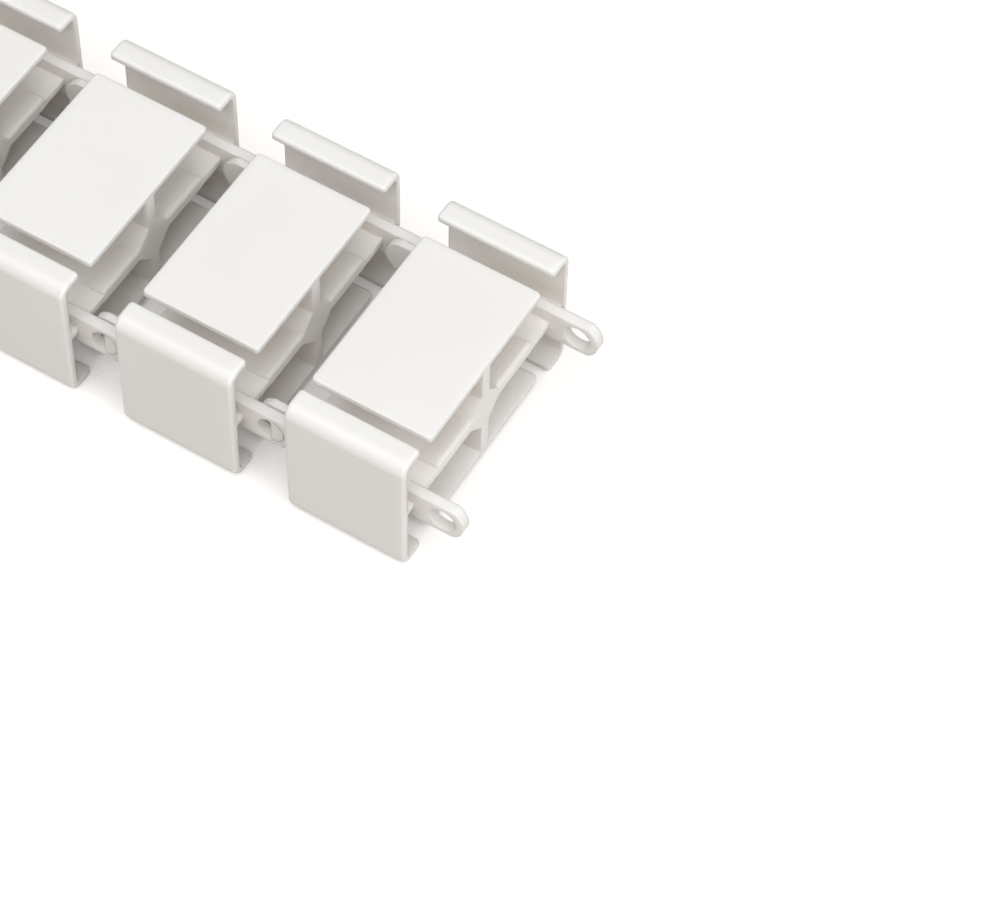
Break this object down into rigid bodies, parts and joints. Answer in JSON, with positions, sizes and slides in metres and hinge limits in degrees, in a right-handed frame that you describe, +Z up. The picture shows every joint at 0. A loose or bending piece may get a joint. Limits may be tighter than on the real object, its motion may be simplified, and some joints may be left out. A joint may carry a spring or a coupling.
{
  "type": "cable spine",
  "caption": "Chain of hinged plastic links that guides cables between a desk and the floor; each link has flat plates, a web, lipped side walls and snap-in stub pins.",
  "frame": {"origin": "middle of the free end's hinge axis, at mid-width and mid-height", "axes": "+X along the chain toward the free end, +Y across the links, +Z up"},
  "size_m": [0.9107, 0.0706, 0.0384],
  "materials": {
    "link_plastic": "satin"
  },
  "bodies": {
    "link_01": {"link_01": "link_plastic"},
    "link_02": {"link_02": "link_plastic"},
    "link_03": {"link_03": "link_plastic"},
    "link_04": {"link_04": "link_plastic"},
    "link_05": {"link_05": "link_plastic"},
    "link_06": {"link_06": "link_plastic"},
    "link_07": {"link_07": "link_plastic"},
    "link_08": {"link_08": "link_plastic"},
    "link_09": {"link_09": "link_plastic"},
    "link_10": {"link_10": "link_plastic"},
    "link_11": {"link_11": "link_plastic"},
    "link_12": {"link_12": "link_plastic"},
    "link_13": {"link_13": "link_plastic"},
    "link_14": {"link_14": "link_plastic"},
    "link_15": {"link_15": "link_plastic"},
    "link_16": {"link_16": "link_plastic"},
    "link_17": {"link_17": "link_plastic"},
    "link_18": {"link_18": "link_plastic"},
    "link_19": {"link_19": "link_plastic"},
    "link_20": {"link_20": "link_plastic"}
  },
  "joints": [
    {"name": "hinge_01_02", "type": "hinge", "parent": "link_01", "child": "link_02", "pos_m": [-0.045, 0, 0], "axis": [0, 1, 0], "range_deg": [-38, 38]},
    {"name": "hinge_02_03", "type": "hinge", "parent": "link_02", "child": "link_03", "pos_m": [-0.09, 0, 0], "axis": [0, -1, 0], "range_deg": [-38, 38]},
    {"name": "hinge_03_04", "type": "hinge", "parent": "link_03", "child": "link_04", "pos_m": [-0.135, 0, 0], "axis": [0, 1, 0], "range_deg": [-38, 38]},
    {"name": "hinge_04_05", "type": "hinge", "parent": "link_04", "child": "link_05", "pos_m": [-0.18, 0, 0], "axis": [0, -1, 0], "range_deg": [-38, 38]},
    {"name": "hinge_05_06", "type": "hinge", "parent": "link_05", "child": "link_06", "pos_m": [-0.225, 0, 0], "axis": [0, 1, 0], "range_deg": [-38, 38]},
    {"name": "hinge_06_07", "type": "hinge", "parent": "link_06", "child": "link_07", "pos_m": [-0.27, 0, 0], "axis": [0, -1, 0], "range_deg": [-38, 38]},
    {"name": "hinge_07_08", "type": "hinge", "parent": "link_07", "child": "link_08", "pos_m": [-0.315, 0, 0], "axis": [0, 1, 0], "range_deg": [-38, 38]},
    {"name": "hinge_08_09", "type": "hinge", "parent": "link_08", "child": "link_09", "pos_m": [-0.36, 0, 0], "axis": [0, -1, 0], "range_deg": [-38, 38]},
    {"name": "hinge_09_10", "type": "hinge", "parent": "link_09", "child": "link_10", "pos_m": [-0.405, 0, 0], "axis": [0, 1, 0], "range_deg": [-38, 38]},
    {"name": "hinge_10_11", "type": "hinge", "parent": "link_10", "child": "link_11", "pos_m": [-0.45, 0, 0], "axis": [0, -1, 0], "range_deg": [-38, 38]},
    {"name": "hinge_11_12", "type": "hinge", "parent": "link_11", "child": "link_12", "pos_m": [-0.495, 0, 0], "axis": [0, 1, 0], "range_deg": [-38, 38]},
    {"name": "hinge_12_13", "type": "hinge", "parent": "link_12", "child": "link_13", "pos_m": [-0.54, 0, 0], "axis": [0, -1, 0], "range_deg": [-38, 38]},
    {"name": "hinge_13_14", "type": "hinge", "parent": "link_13", "child": "link_14", "pos_m": [-0.585, 0, 0], "axis": [0, 1, 0], "range_deg": [-38, 38]},
    {"name": "hinge_14_15", "type": "hinge", "parent": "link_14", "child": "link_15", "pos_m": [-0.63, 0, 0], "axis": [0, -1, 0], "range_deg": [-38, 38]},
    {"name": "hinge_15_16", "type": "hinge", "parent": "link_15", "child": "link_16", "pos_m": [-0.675, 0, 0], "axis": [0, 1, 0], "range_deg": [-38, 38]},
    {"name": "hinge_16_17", "type": "hinge", "parent": "link_16", "child": "link_17", "pos_m": [-0.72, 0, 0], "axis": [0, -1, 0], "range_deg": [-38, 38]},
    {"name": "hinge_17_18", "type": "hinge", "parent": "link_17", "child": "link_18", "pos_m": [-0.765, 0, 0], "axis": [0, 1, 0], "range_deg": [-38, 38]},
    {"name": "hinge_18_19", "type": "hinge", "parent": "link_18", "child": "link_19", "pos_m": [-0.81, 0, 0], "axis": [0, -1, 0], "range_deg": [-38, 38]},
    {"name": "hinge_19_20", "type": "hinge", "parent": "link_19", "child": "link_20", "pos_m": [-0.855, 0, 0], "axis": [0, 1, 0], "range_deg": [-38, 38]}
  ]
}
